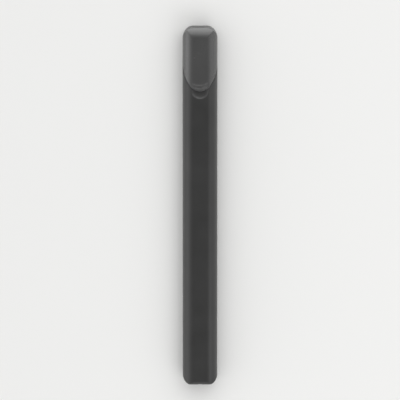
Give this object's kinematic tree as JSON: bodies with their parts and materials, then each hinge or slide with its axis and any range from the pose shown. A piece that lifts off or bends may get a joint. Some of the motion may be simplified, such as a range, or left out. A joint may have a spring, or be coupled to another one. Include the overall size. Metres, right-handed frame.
{
  "type": "chopstick case",
  "caption": "Slim dark plastic pocket case for chopsticks, a long tray with rounded sides and a short hinged flip lid with a rounded tongue over the mouth at one end.",
  "frame": {"origin": "middle of the flat back that the case lies on", "axes": "+X across the width, +Y along the length to the lid end, +Z out of the front where the lid is"},
  "size_m": [0.024, 0.25, 0.015],
  "materials": {
    "case_plastic": "satin dark grey moulded plastic with a fine grain",
    "lid_plastic": "satin dark grey moulded plastic, a little glossier than the case",
    "pin_steel": "drawn steel wire"
  },
  "bodies": {
    "case": {"case_body": "case_plastic", "hinge_pin": "pin_steel"},
    "lid": {"flip_lid": "lid_plastic"}
  },
  "joints": [
    {"name": "lid_hinge", "type": "hinge", "parent": "case", "child": "lid", "pos_m": [0, 0.12375, 0.0102], "axis": [-1, 0, 0], "range_deg": [0, 95]}
  ]
}
